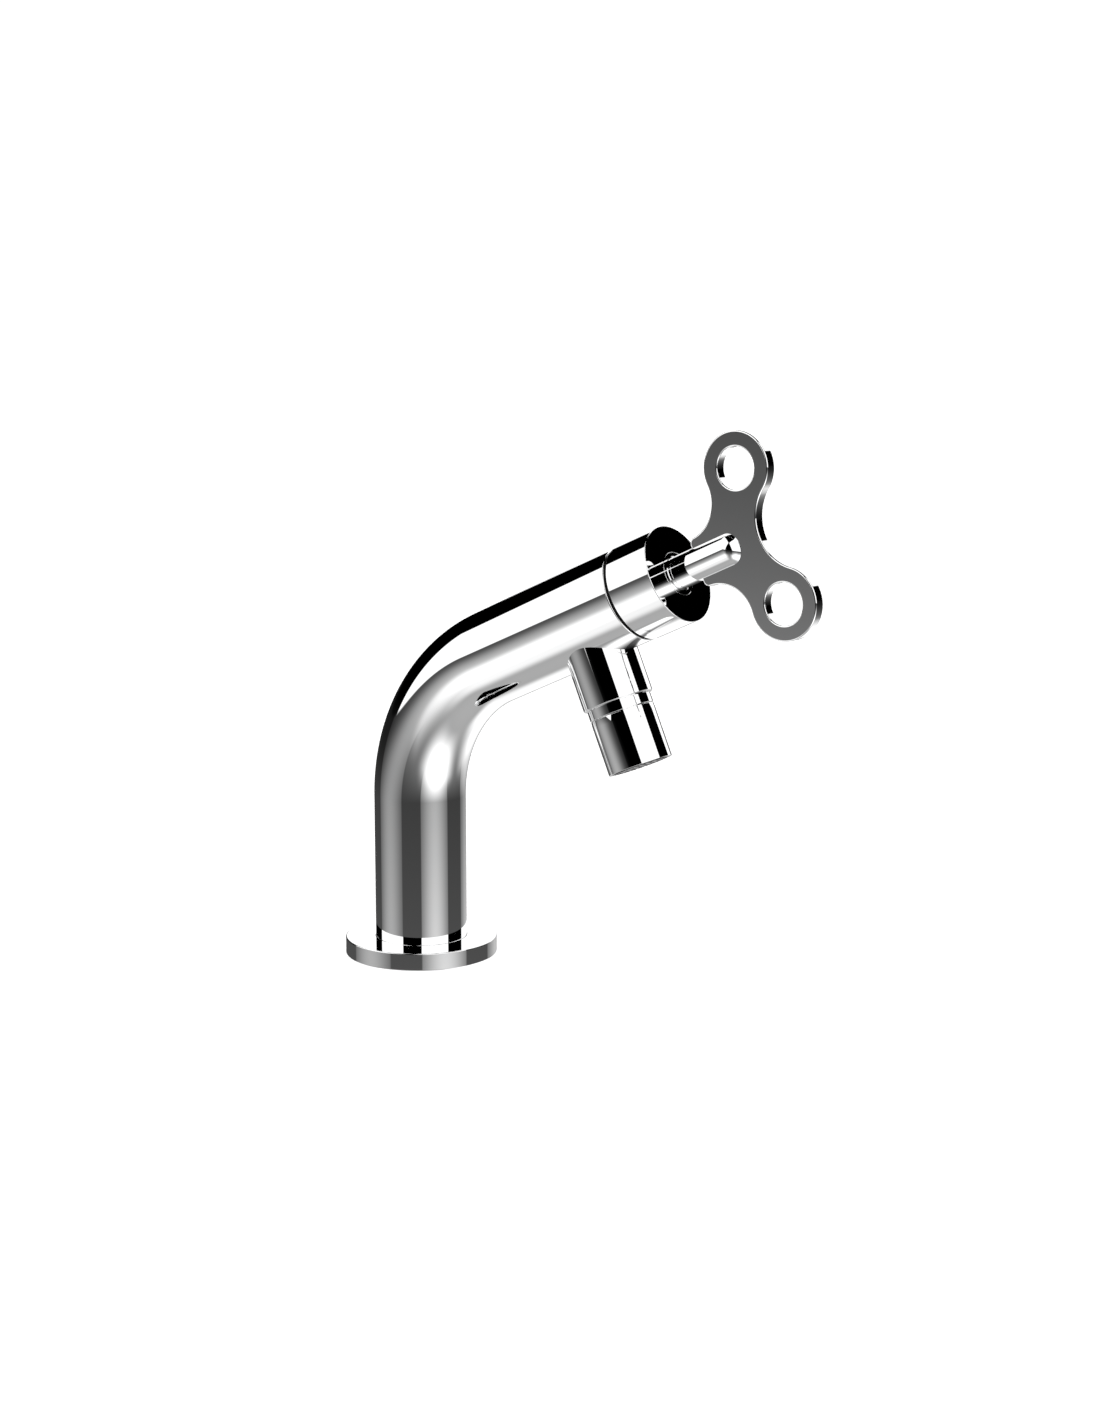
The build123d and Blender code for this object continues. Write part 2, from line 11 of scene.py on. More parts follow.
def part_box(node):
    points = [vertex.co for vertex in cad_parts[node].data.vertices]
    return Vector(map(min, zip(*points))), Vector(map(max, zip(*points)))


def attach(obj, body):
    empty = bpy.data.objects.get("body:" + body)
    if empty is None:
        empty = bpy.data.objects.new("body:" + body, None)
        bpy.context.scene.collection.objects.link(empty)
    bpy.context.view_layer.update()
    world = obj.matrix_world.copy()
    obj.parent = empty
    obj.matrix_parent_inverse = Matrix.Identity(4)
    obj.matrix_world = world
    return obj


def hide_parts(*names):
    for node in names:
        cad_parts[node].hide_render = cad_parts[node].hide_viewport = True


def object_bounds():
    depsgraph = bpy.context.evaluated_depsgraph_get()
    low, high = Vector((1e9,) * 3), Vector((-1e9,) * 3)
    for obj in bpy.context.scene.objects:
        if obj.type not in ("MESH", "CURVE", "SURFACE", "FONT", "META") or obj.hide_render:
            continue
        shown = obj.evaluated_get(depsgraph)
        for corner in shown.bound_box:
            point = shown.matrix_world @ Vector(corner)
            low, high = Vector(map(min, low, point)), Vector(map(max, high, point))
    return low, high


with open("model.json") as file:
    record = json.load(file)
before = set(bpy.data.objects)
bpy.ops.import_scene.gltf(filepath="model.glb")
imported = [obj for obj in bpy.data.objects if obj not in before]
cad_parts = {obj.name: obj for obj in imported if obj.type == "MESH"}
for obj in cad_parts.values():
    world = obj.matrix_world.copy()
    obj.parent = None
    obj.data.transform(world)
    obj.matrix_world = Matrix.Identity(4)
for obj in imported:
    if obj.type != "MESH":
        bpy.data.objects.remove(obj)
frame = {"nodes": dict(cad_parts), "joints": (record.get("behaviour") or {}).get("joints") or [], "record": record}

cad_low, cad_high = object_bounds()
size = cad_high - cad_low
nodes = frame["nodes"]
record = frame["record"]
MM = 0.001

# Camera ---------------------------------------------------------------------------------------------------

VIEW_AZIMUTH = math.radians(36.99)
VIEW_ELEVATION = math.radians(9.37)
VIEW_DISTANCE = 0.6868

back = Vector((
    math.sin(VIEW_AZIMUTH) * math.cos(VIEW_ELEVATION),
    -math.cos(VIEW_AZIMUTH) * math.cos(VIEW_ELEVATION),
    math.sin(VIEW_ELEVATION),
))
target = Vector((cad_low.x + 0.4504 * size.x, 0, cad_low.z + 0.4925 * size.z))
camera = bpy.data.objects.new("camera", bpy.data.cameras.new("camera"))
bpy.context.scene.collection.objects.link(camera)
camera.data.lens = 55.69
camera.data.sensor_width = 36
camera.data.clip_start = 0.01
camera.data.clip_end = 200
camera.rotation_mode = "QUATERNION"
camera.location = target + back * VIEW_DISTANCE
camera.rotation_quaternion = (-back).to_track_quat("-Z", "Y")
bpy.context.scene.camera = camera

# Studio ---------------------------------------------------------------------------------------------------


class Graph:
    """Short calls for building a node tree."""

    def __init__(self, tree):
        self.tree = tree
        tree.nodes.clear()

    def add(self, kind, inputs=None, **settings):
        node = self.tree.nodes.new("ShaderNode" + kind)
        for key, value in settings.items():
            setattr(node, key, value)
        for key, value in (inputs or {}).items():
            if isinstance(value, bpy.types.NodeSocket):
                self.tree.links.new(value, node.inputs[key])
            else:
                node.inputs[key].default_value = value
        return node

    def math(self, operation, a, b=0.0, c=0.0):
        inputs = {0: a, 1: b}
        if operation in ("MULTIPLY_ADD", "WRAP"):
            inputs[2] = c
        return self.add("Math", inputs, operation=operation).outputs[0]

    def step(self, value, low, high, start=0.0, end=1.0):
        """Smooth change from start to end while value goes from low to high."""
        inputs = {"Value": value, "From Min": low, "From Max": high, "To Min": start, "To Max": end}
        return self.add("MapRange", inputs, interpolation_type="SMOOTHSTEP").outputs[0]

    def blend(self, share, a, b):
        """Value that goes from a to b while share goes from 0 to 1."""
        return self.math("MULTIPLY_ADD", share, self.math("SUBTRACT", b, a), a)

    def product(self, first, *others):
        for other in others:
            first = self.math("MULTIPLY", first, other)
        return first

    def total(self, first, *others):
        for other in others:
            first = self.math("ADD", first, other)
        return first

    def mix(self, share, a, b):
        """Colour that goes from a to b while share goes from 0 to 1."""
        node = self.add("Mix", {0: share}, data_type="RGBA")
        node.inputs[6].default_value = (*a, 1)
        node.inputs[7].default_value = (*b, 1)
        return node.outputs[2]


REFLECTANCE = 0.93
# Three white panels lean in over the tap, with black between and above them. Bearings and elevations are in
# degrees, and bearings run to the right from the direction back to the camera. Each pair is where a change
# starts and ends: the panels are shortened behind the tap, and the gap on the right is widened.
PANEL = 1.25
PANEL_CENTRE = 39.75
PANEL_APART = 120
PANEL_SPREAD = 0.584
PANEL_LEAN = 0.72
PANEL_TOP = 2.03
SHORT_PANEL = 5.0
SHORTENED = (150, 174)
WIDER_GAP = 1.8
WIDENED = (50, 90)
SOFT_EDGE = 0.012
ABOVE_FLOOR = (0.4, 1.8)
# The floor brightens with the angle looked down at it, and each panel throws a glow on it that fades to the
# sides and underfoot. Each brightness is (at the horizon, rise, levelling off).
FLOOR_BRIGHTNESS = (0.01, 0.93, 1.3)
GLOW_BRIGHTNESS = (0.07, 7.7, 0.5)
GLOW_UNDERFOOT = (-71, -12)
GLOW_SIDES_NEAR = (0, 53)
GLOW_SIDES_FAR = (7, 60)
GLOW_NEARER = (-31, -20)
GLOW_END = (34, 37)
GLOW_END_FADE = (-34, -15)
HORIZON_GLOW = 0.0056
# Shares of the glow for the panels to the left and at the back: (from, to) in elevation, then the share's
# start and end
LEFT_SIDE = (45, 65)
BACK_SIDE = (95, 130)
LEFT_UNDERFOOT = (-69, -50, 1.9, 0.7)
LEFT_DIP = (-28, -20, 0, -0.18)
LEFT_HORIZON = (-20, -2, 0, 0.4)
BACK_UNDERFOOT = (-69, -48, 2.0, 0.76)

world = bpy.data.worlds.new("studio")
bpy.context.scene.world = world
world.use_nodes = True
g = Graph(world.node_tree)
direction = g.add("TexCoord").outputs["Generated"]
level = Vector((back.x, back.y, 0)).normalized()
right = Vector((-level.y, level.x, 0))
ahead = g.add("VectorMath", {0: direction, 1: level}, operation="DOT_PRODUCT").outputs["Value"]
aside = g.add("VectorMath", {0: direction, 1: right}, operation="DOT_PRODUCT").outputs["Value"]
height = g.add("SeparateXYZ", {0: direction}).outputs["Z"]
bearing = g.math("MULTIPLY", g.math("ARCTAN2", aside, ahead), 180 / math.pi)
elevation = g.math("MULTIPLY", g.math("ARCSINE", height), 180 / math.pi)

# Panels: each is bounded by two leaning edges and a level top
behind = g.step(g.math("ABSOLUTE", bearing), *SHORTENED, 0, SHORT_PANEL)
bearing = g.math("ADD", bearing, behind)
from_centre = g.math("SUBTRACT", bearing, PANEL_CENTRE)
off_centre = g.math("ABSOLUTE", g.math("WRAP", from_centre, PANEL_APART / 2, -PANEL_APART / 2))
widened = g.step(bearing, *WIDENED, 0, WIDER_GAP)
to_gap = g.math("MULTIPLY", g.math("ADD", off_centre, widened), math.pi / 180)
flat = g.math("COSINE", g.math("ARCSINE", height))
facing = g.math("MULTIPLY", g.math("COSINE", to_gap), flat)
beside = g.math("MULTIPLY", g.math("SINE", to_gap), flat)
edge = g.math("MULTIPLY", g.math("MULTIPLY_ADD", height, PANEL_LEAN, facing), PANEL_SPREAD)
inside = g.step(g.math("SUBTRACT", edge, beside), -SOFT_EDGE, SOFT_EDGE)
below_top = g.step(g.math("SUBTRACT", g.math("MULTIPLY", facing, PANEL_TOP), height), -SOFT_EDGE, SOFT_EDGE)
above_floor = g.step(elevation, *ABOVE_FLOOR)
upper = g.total(g.product(inside, below_top, PANEL), g.step(elevation, -1, 6, HORIZON_GLOW, 0))


def looked_down_at(least, rise, levelling):
    """Brightness that grows with the square of the sine of the elevation, and then levels off."""
    square = g.math("MULTIPLY", height, height)
    share = g.math("DIVIDE", square, g.math("MULTIPLY_ADD", square, levelling, 1.0))
    return g.math("MULTIPLY_ADD", share, rise, least)


# Floor, and the glow of the panel above it
strength = g.product(looked_down_at(*GLOW_BRIGHTNESS), g.step(elevation, *GLOW_UNDERFOOT))
to_sides = g.blend(
    g.step(elevation, *GLOW_NEARER),
    g.step(off_centre, *GLOW_SIDES_FAR, 1, 0),
    g.step(off_centre, *GLOW_SIDES_NEAR, 1, 0),
)
beyond = g.step(off_centre, *GLOW_END)
kept = g.math("SUBTRACT", 1.0, g.product(beyond, g.step(elevation, *GLOW_END_FADE)))
left = g.step(g.math("ABSOLUTE", g.math("ADD", bearing, PANEL_APART - PANEL_CENTRE)), *LEFT_SIDE, 1, 0)
at_back = g.product(g.step(g.math("ABSOLUTE", bearing), *BACK_SIDE), g.math("SUBTRACT", 1.0, left))
left_share = g.total(*(g.step(elevation, *change) for change in (LEFT_UNDERFOOT, LEFT_DIP, LEFT_HORIZON)))
back_share = g.step(elevation, *BACK_UNDERFOOT)
share = g.blend(at_back, g.blend(left, 1.0, left_share), back_share)
glow = g.product(strength, to_sides, kept, share)
lower = g.math("DIVIDE", g.total(looked_down_at(*FLOOR_BRIGHTNESS), glow), REFLECTANCE)
around = g.blend(above_floor, lower, upper)

seen = g.add("LightPath").outputs["Is Camera Ray"]
surroundings = g.add("Background", {"Color": around})
backdrop = g.add("Background", {"Color": (1, 1, 1, 1), "Strength": 1.05})
both = g.add("MixShader", {0: seen, 1: surroundings.outputs[0], 2: backdrop.outputs[0]})
g.add("OutputWorld", {"Surface": both.outputs[0]})


def new_material(name):
    material = bpy.data.materials.new(name)
    material.use_nodes = True
    return material, Graph(material.node_tree)


floor_mesh = bpy.data.meshes.new("floor")
reach = 30.0
floor_corners = [(-reach, -reach, 0), (reach, -reach, 0), (reach, reach, 0), (-reach, reach, 0)]
floor_mesh.from_pydata(floor_corners, [], [(0, 1, 2, 3)])
floor = bpy.data.objects.new("floor", floor_mesh)
bpy.context.scene.collection.objects.link(floor)
floor.visible_glossy = False
floor.visible_transmission = False
material, g = new_material("floor")
shader = g.add("BsdfPrincipled", {
    "Base Color": (0.9, 0.9, 0.9, 1), "Roughness": 0.8,
    "Emission Color": (1, 1, 1, 1), "Emission Strength": 0.6,
})
g.add("OutputMaterial", {"Surface": shader.outputs[0]})
floor_mesh.materials.append(material)

bpy.context.scene.view_settings.view_transform = "Standard"
bpy.context.scene.view_settings.look = "None"

# Materials ------------------------------------------------------------------------------------------------


def surface(name, colour, second, scale, roughness, metallic=0.0, bump=0.0, grain=1.0, grooves=0.0):
    """Procedural finish at real scale: two shades, a roughness range and a fine relief, all from noise."""
    material, g = new_material(name)
    place = g.add("TexCoord").outputs["Object"]
    broad = g.add("TexNoise", {"Vector": place, "Scale": scale, "Detail": 5.0}).outputs["Fac"]
    fine = g.add("TexNoise", {"Vector": place, "Scale": scale * 9 * grain, "Detail": 3.0}).outputs["Fac"]
    tint = g.mix(g.step(broad, 0.35, 0.65), colour, second)
    rough = g.step(g.math("MULTIPLY_ADD", fine, 0.4, g.math("MULTIPLY", broad, 0.6)), 0.32, 0.68, *roughness)
    inputs = {"Base Color": tint, "Metallic": metallic, "Roughness": rough}
    relief = fine
    if grooves:
        stretched = g.add("Mapping", {"Vector": place, "Scale": (9, 0.3, 9)}).outputs[0]
        rings = g.add("TexNoise", {"Vector": stretched, "Scale": grooves, "Detail": 2.0}).outputs["Fac"]
        relief = g.math("MULTIPLY_ADD", rings, 0.6, g.math("MULTIPLY", fine, 0.4))
    if bump:
        inputs["Normal"] = g.add("Bump", {"Height": relief, "Strength": 0.35, "Distance": bump}).outputs[0]
    shader = g.add("BsdfPrincipled", inputs)
    g.add("OutputMaterial", {"Surface": shader.outputs[0]})
    return material


def chrome_plate():
    """Bright plate: almost no haze, faint wiping marks in the gloss and the odd dried water spot."""
    material, g = new_material("chrome_plate")
    place = g.add("TexCoord").outputs["Object"]
    haze = g.add("TexNoise", {"Vector": place, "Scale": 220.0, "Detail": 4.0}).outputs["Fac"]
    stretched = g.add("Mapping", {"Vector": place, "Scale": (1, 1, 0.12)}).outputs[0]
    wipes = g.add("TexNoise", {"Vector": stretched, "Scale": 1500.0, "Detail": 2.0}).outputs["Fac"]
    cells = g.add("TexVoronoi", {"Vector": place, "Scale": 130.0}, feature="F1")
    spots = g.step(cells.outputs["Distance"], 0.05, 0.075, 1, 0)
    chosen = g.step(g.add("SeparateXYZ", {0: cells.outputs["Color"]}).outputs["X"], 0.93, 0.94)
    spots = g.math("MULTIPLY", spots, chosen)
    rough = g.math("ADD", g.step(haze, 0.3, 0.7, 0.008, 0.02), g.step(wipes, 0.55, 0.8, 0.0, 0.012))
    rough = g.math("MULTIPLY_ADD", spots, 0.03, rough)
    tint = g.mix(g.step(haze, 0.35, 0.7), (REFLECTANCE,) * 3, (0.922, 0.926, 0.93))
    shader = g.add("BsdfPrincipled", {"Base Color": tint, "Metallic": 1.0, "Roughness": rough})
    g.add("OutputMaterial", {"Surface": shader.outputs[0]})
    return material


finishes = {
    "chrome": chrome_plate(),
    "brass": surface(
        "turned_brass", (0.80, 0.58, 0.27), (0.62, 0.42, 0.18), 260, (0.18, 0.34),
        metallic=1.0, bump=3e-5, grooves=160,
    ),
    "rubber": surface(
        "sealing_rubber", (0.018, 0.018, 0.019), (0.035, 0.034, 0.033), 420, (0.5, 0.75),
        bump=3e-5, grain=1.4,
    ),
    "fibre": surface(
        "pressed_fibre", (0.34, 0.075, 0.045), (0.46, 0.13, 0.08), 520, (0.65, 0.9),
        bump=4e-5, grain=1.6,
    ),
    "ceramic": surface(
        "lapped_ceramic", (0.86, 0.85, 0.81), (0.78, 0.77, 0.73), 700, (0.12, 0.24),
        bump=6e-6, grain=1.2,
    ),
    "ptfe": surface(
        "white_ptfe", (0.82, 0.82, 0.80), (0.72, 0.72, 0.70), 380, (0.35, 0.5),
        bump=1e-5, grain=1.2,
    ),
    "aerator_plastic": surface(
        "moulded_plastic", (0.008, 0.008, 0.009), (0.014, 0.014, 0.015), 480, (0.06, 0.12),
        bump=2e-6, grain=1.5,
    ),
    "steel": surface(
        "stainless_steel", (0.55, 0.55, 0.54), (0.45, 0.45, 0.45), 300, (0.2, 0.35),
        metallic=1.0, bump=1e-5, grain=1.5, grooves=260,
    ),
}
# Painted shade: a near-black rough material that stands in for the shade in the seam's groove
painted_groove_shade = surface("painted_groove_shade_material", (0.006, 0.006, 0.006), (0.012, 0.011, 0.01), 400, (0.5, 0.7))
slot_of = {row["node"]: row["material_slot"] for row in record["subparts"]}
for name, node in nodes.items():
    for held in node.material_slots:
        held.material = finishes[slot_of[name]]

# Piece building -------------------------------------------------------------------------------------------

SIDE = Vector((0, 1, 0))
joint = frame["joints"][0]
END = Vector(joint["pos_m"])
ARM = Vector(joint["axis"]).normalized()
UP = ARM.cross(SIDE)
DOWN = -UP
TURNS = 288
ROUNDING_STEPS = 10


def add_piece(name, faces, body, stands_for, slot="chrome"):
    """Mesh from faces given as [(points, normals), ...], with touching corners joined and normals kept."""
    points = np.array([p for corners, _ in faces for p in corners])
    keys, where = np.unique(np.round(points * 1e7).astype(np.int64), axis=0, return_inverse=True)
    where = where.reshape(-1)
    rows, normals, at = [], [], 0
    for corners, directions in faces:
        row, kept = [], []
        for i, direction in enumerate(directions):
            index = int(where[at + i])
            if index not in row:
                row.append(index)
                kept.append(direction)
        at += len(corners)
        if len(row) > 2:
            rows.append(row)
            normals.extend(kept)
    mesh = bpy.data.meshes.new(name)
    mesh.from_pydata((keys / 1e7).tolist(), [], rows)
    mesh.polygons.foreach_set("use_smooth", [True] * len(mesh.polygons))
    mesh.normals_split_custom_set(normals)
    mesh.materials.append(finishes[slot])
    piece = bpy.data.objects.new(name, mesh)
    bpy.context.scene.collection.objects.link(piece)
    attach(piece, body)
    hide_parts(*stands_for)
    return piece


def skin(rings, faces):
    """Adds the band of faces through a run of rings, each (points, normals) with a row for each step."""
    for (p, n), (q, m) in zip(rings, rings[1:]):
        sides = np.cross(np.roll(p, -1, 0) - p + np.roll(q, -1, 0) - q, q - p + np.roll(q - p, -1, 0))
        outwards = (sides * (n + m)).sum() > 0
        for j in range(len(p)):
            k = (j + 1) % len(p)
            if outwards:
                faces.append(((p[j], p[k], q[k], q[j]), (n[j], n[k], m[k], m[j])))
            else:
                faces.append(((p[j], q[j], q[k], p[k]), (n[j], m[j], m[k], n[k])))


def profile_runs(corners):
    """Runs of ((radius, station), normal) from a closed counter-clockwise outline.

    Each corner of the outline is (radius, station, edge, size).
    The edge is "" for sharp, "c" for a chamfer and "f" for a rounding of that size.
    """
    count = len(corners)
    start, end, arcs = {}, {}, {}
    for i, (r, s, edge, amount) in enumerate(corners):
        before, after = corners[i - 1], corners[(i + 1) % count]
        into = np.array([r - before[0], s - before[1]])
        out = np.array([after[0] - r, after[1] - s])
        into /= np.linalg.norm(into)
        out /= np.linalg.norm(out)
        n_in = np.array([into[1], -into[0]])
        n_out = np.array([out[1], -out[0]])
        corner = np.array([r, s], float)
        turn = math.acos(max(-1.0, min(1.0, float(into @ out))))
        cut = amount * math.tan(turn / 2) if edge == "f" else amount if edge else 0.0
        end[i] = (corner - into * cut, n_in)
        start[i] = (corner + out * cut, n_out)
        if edge == "f":
            centre = end[i][0] - n_in * amount
            arcs[i] = []
            for k in range(ROUNDING_STEPS + 1):
                share = k / ROUNDING_STEPS
                normal = n_in * math.sin(turn * (1 - share)) + n_out * math.sin(turn * share)
                normal /= np.linalg.norm(normal)
                arcs[i].append((centre + normal * amount, normal))
        elif edge == "c":
            across = start[i][0] - end[i][0]
            across /= np.linalg.norm(across)
            normal = np.array([across[1], -across[0]])
            arcs[i] = [(end[i][0], normal), (start[i][0], normal)]
    runs = []
    for i in range(count):
        if i in arcs:
            runs.append(arcs[i])
        following = (i + 1) % count
        runs.append([(start[i][0], start[i][1]), (end[following][0], start[i][1])])
    return runs


def turned_faces(origin, axis, runs, station=None):
    """Faces turned from profile runs in millimetres. station(radius, angle) may replace a marked station."""
    across = SIDE
    along = np.array(axis)
    third = np.array(axis.cross(across))
    across = np.array(across)
    angles = np.arange(TURNS) * 2 * math.pi / TURNS
    radial = np.cos(angles)[:, None] * across + np.sin(angles)[:, None] * third
    faces = []
    for run in runs:
        rings = []
        for (r, s), (nr, ns) in run:
            if station is not None and s < 0:
                heights = np.array([station(r, a) for a in angles])[:, None]
            else:
                heights = s
            points = np.array(origin) + radial * (r * MM) + along * (heights * MM)
            rings.append((points, radial * nr + along * ns))
        skin(rings, faces)
    return faces


def turned(name, origin, axis, runs, body, stands_for, slot="chrome", station=None):
    """Turned piece made of those faces."""
    return add_piece(name, turned_faces(origin, axis, runs, station), body, stands_for, slot)


def across(node):
    """Half width of a CAD node to the side, in millimetres."""
    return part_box(node)[1].y / MM


def stations(node, origin, axis):
    """First and last station of a CAD node's corners along an axis, in millimetres."""
    reached = [(v.co - origin).dot(axis) / MM for v in nodes[node].data.vertices]
    return min(reached), max(reached)


mounts = {m["name"]: m for m in record["mounts"]}
spout_point = Vector(mounts["nozzle_outside"]["pos_m"])
SPOUT = spout_point - DOWN * (spout_point - END).dot(DOWN)
FOOT = Vector((0, 0, 0))
Z = Vector((0, 0, 1))

# Flange
flange_r = across("base_flange")
tube_r = across("body_tube")
flange_low, flange_high = stations("base_flange", FOOT, Z)
flange_in = tube_r + 0.1
gasket_in, gasket_out, gasket_t = 17.0, 22.5, 1.2
turned("flange_plate", FOOT, Z, profile_runs([
    (flange_in, flange_low, "", 0), (gasket_in, flange_low, "", 0), (gasket_in, gasket_t, "", 0),
    (gasket_out, gasket_t, "", 0), (gasket_out, flange_low, "", 0), (flange_r, flange_low, "c", 0.3),
    (flange_r, flange_high, "f", 0.35), (flange_in, flange_high, "f", 0.2),
]), "tap_body", ["base_flange"])

# Body tube: pillar, bend and arm
tube_in = across("valve_housing") + 0.03
BEND = 52.7 * MM
bend_angle = math.acos(ARM.z)
corner = END - ARM * (END.x / ARM.x)
bend_low = corner.z - BEND * math.tan(bend_angle / 2)
tube_end = stations("body_tube", END, ARM)[1] * MM
foot_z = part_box("body_tube")[0].z
angles = np.arange(TURNS) * 2 * math.pi / TURNS


def tube_ring(centre, heading, radius, outward, tilt=0.0):
    """Ring square to the heading. Its normals look outwards or inwards, tilted towards the heading."""
    lateral = np.array(SIDE)
    upright = np.array(heading.cross(SIDE))
    radial = np.cos(angles)[:, None] * lateral + np.sin(angles)[:, None] * upright
    points = np.array(centre) + radial * radius * MM
    normals = radial * outward * math.cos(tilt) + np.array(heading) * math.sin(tilt)
    return points, normals


def centreline():
    yield Vector((0, 0, foot_z)), Z
    yield Vector((0, 0, bend_low)), Z
    steps = 180
    for i in range(1, steps + 1):
        a = bend_angle * i / steps
        heading = Vector((math.sin(a), 0, math.cos(a)))
        yield Vector((BEND * (1 - math.cos(a)), 0, bend_low + BEND * math.sin(a))), heading


rim = 0.4
stops = list(centreline())
last = END + ARM * tube_end
outer = stops + [(last - ARM * rim * MM, ARM)]
inner = stops + [(last, ARM)]
faces = []
skin([tube_ring(c, h, tube_r, 1) for c, h in outer], faces)
tilts = [math.pi / 2 * i / 8 for i in range(9)]
rounding = []
for tilt in tilts:
    centre = last - ARM * rim * MM * (1 - math.sin(tilt))
    rounding.append(tube_ring(centre, ARM, tube_r - rim * (1 - math.cos(tilt)), 1, tilt))
skin(rounding, faces)
skin([tube_ring(last, ARM, r, 0, math.pi / 2) for r in (tube_r - rim, tube_in)], faces)
skin([tube_ring(c, h, tube_in, -1) for c, h in reversed(inner)], faces)
foot = stops[0][0]
skin([tube_ring(foot, Z, r, 0, -math.pi / 2) for r in (tube_in, tube_r)], faces)
add_piece("bent_tube", faces, "tap_body", ["body_tube"])

# Spout stub
stub_r = across("spout_stub")
stub_end = stations("spout_stub", SPOUT, DOWN)[1]
stub_in = 9.0


def on_tube(radius, angle):
    """Station where a line of that radius down the spout leaves the tube's wall."""
    return math.sqrt((tube_r - 0.05) ** 2 - (radius * math.cos(angle)) ** 2)


turned("spout_stub_wall", SPOUT, DOWN, profile_runs([
    (stub_in, -1, "", 0), (stub_r, -1, "", 0), (stub_r, stub_end, "c", 0.33), (stub_in, stub_end, "", 0),
]), "tap_body", ["spout_stub"], station=on_tube)

# Nipple with its visible collar
collar_r = across("spout_nipple")
nipple_low, nipple_high = stations("spout_nipple", SPOUT, DOWN)
shell_low, shell_high = stations("nozzle_shell", SPOUT, DOWN)
nipple_in, spigot_r, groove = 6.5, 8.2, 0.2
thread_r = stub_in - 0.05
collar_low, collar_high = stub_end + groove, shell_low - groove
turned("nipple_collar", SPOUT, DOWN, profile_runs([
    (nipple_in, nipple_low, "", 0), (thread_r, nipple_low, "c", 0.4), (thread_r, collar_low, "", 0),
    (collar_r, collar_low, "c", 0.12), (collar_r, collar_high, "c", 0.15), (spigot_r, collar_high, "", 0),
    (spigot_r, nipple_high, "c", 0.4), (nipple_in, nipple_high, "c", 0.3),
]), "tap_body", ["spout_nipple"])

# Nozzle shell, softly crowned where it meets the collar
shell_r = across("nozzle_shell")
shell_in, mouth_r, shoulder = 8.3, 8.9, 46.3
crown_length, crown_drop, crown_steps = 2.3, 0.09, 16
crown_r = crown_length ** 2 / (2 * crown_drop)
crown = []
for i in range(crown_steps + 1):
    behind = crown_length * (1 - i / crown_steps)
    slope = behind / crown_r
    lean = math.hypot(1, slope)
    place = np.array([shell_r - behind ** 2 / (2 * crown_r), shell_low + crown_length - behind])
    crown.append((place, np.array([1 / lean, -slope / lean])))
lip = 0.12
crown[0] = (np.array([shell_r - crown_drop, shell_low + lip]), crown[0][1])
shell_runs = profile_runs([
    (shell_in, shell_low, "", 0), (shell_r - crown_drop, shell_low, "f", lip),
    (shell_r - crown_drop, shell_low + lip, "", 0), (shell_r, shell_low + crown_length, "", 0),
    (shell_r, shell_high, "c", 0.12), (mouth_r, shell_high, "f", 0.1), (mouth_r, shoulder, "", 0),
    (shell_in, shoulder, "", 0),
])
straight = [i for i, run in enumerate(shell_runs)
            if abs(run[-1][0][1] - shell_low - crown_length) < 1e-6 and run[0][0][1] < run[-1][0][1]]
shell_runs[straight[0]] = crown
turned("nozzle_sleeve", SPOUT, DOWN, shell_runs, "tap_body", ["nozzle_shell"])

# End cap and gland
sleeve_r = across("bonnet_sleeve")
neck_low, _ = stations("bonnet_sleeve", END, ARM)
cap_neck_r, cap_neck_in, cap_neck_length = 13.5, 12.8, 0.99
seam = neck_low + cap_neck_length
barrel_r, face_back, gland_hole = 12.05, -4.0, 6.75
end_sleeve = turned("end_sleeve", END, ARM, profile_runs([
    (cap_neck_in, neck_low, "", 0), (cap_neck_r, neck_low, "", 0), (cap_neck_r, seam, "", 0),
    (sleeve_r, seam, "f", 0.3), (sleeve_r, 0, "f", 0.25), (gland_hole, 0, "c", 0.1),
    (gland_hole, face_back, "", 0), (barrel_r, face_back, "", 0), (barrel_r, seam, "", 0),
    (cap_neck_in, seam, "", 0),
]), "tap_body", ["bonnet_sleeve"])
# Painted shade: the neck at the bottom of the seam gets a near-black material that stands in for the shade inside
# the groove
end_sleeve.data.materials.append(painted_groove_shade)
for face in end_sleeve.data.polygons:
    if (face.center - END).dot(ARM) < (seam + 0.01) * MM:
        face.material_index = 1
gland_r = across("gland_ring")
rod_r = across("handle_rod")
gland_in = rod_r + 0.1
turned("gland_washer", END, ARM, profile_runs([
    (gland_in, face_back, "", 0), (gland_r, face_back, "", 0), (gland_r, 0, "f", 0.08),
    (gland_in, 0, "c", 0.25),
]), "tap_body", ["gland_ring"])

# Handle rod, hollow over the spindle
rod_low, rod_high = stations("handle_rod", END, ARM)
tip_round, socket_r, socket_end = 4.0, 4.05, 7.5
screw_low, screw_high = stations("handle_set_screw", END, ARM)
screw_at = (screw_low + screw_high) / 2
screw_r = (screw_high - screw_low) / 2 + 0.05
window = screw_r + 0.7
rod_runs = profile_runs([
    (socket_r, rod_low, "", 0), (rod_r, rod_low, "", 0), (rod_r, screw_at - window, "", 0),
    (rod_r, screw_at + window, "", 0), (rod_r, rod_high, "f", tip_round), (0, rod_high, "", 0),
    (0, socket_end, "", 0), (socket_r, socket_end, "", 0),
])
windowed = [i for i, run in enumerate(rod_runs) if abs(run[0][0][1] - (screw_at - window)) < 1e-6]
del rod_runs[windowed[0]]


def on_rod(along, up, radius):
    """Points on the rod's wall on the set screw's side, and their normals, from stations along and up."""
    out = np.sqrt(radius ** 2 - up ** 2)
    points = np.array(END) + MM * (np.outer(along, ARM) + np.outer(up, UP) + np.outer(out, SIDE))
    return points, (np.outer(up, UP) + np.outer(out, SIDE)) / radius


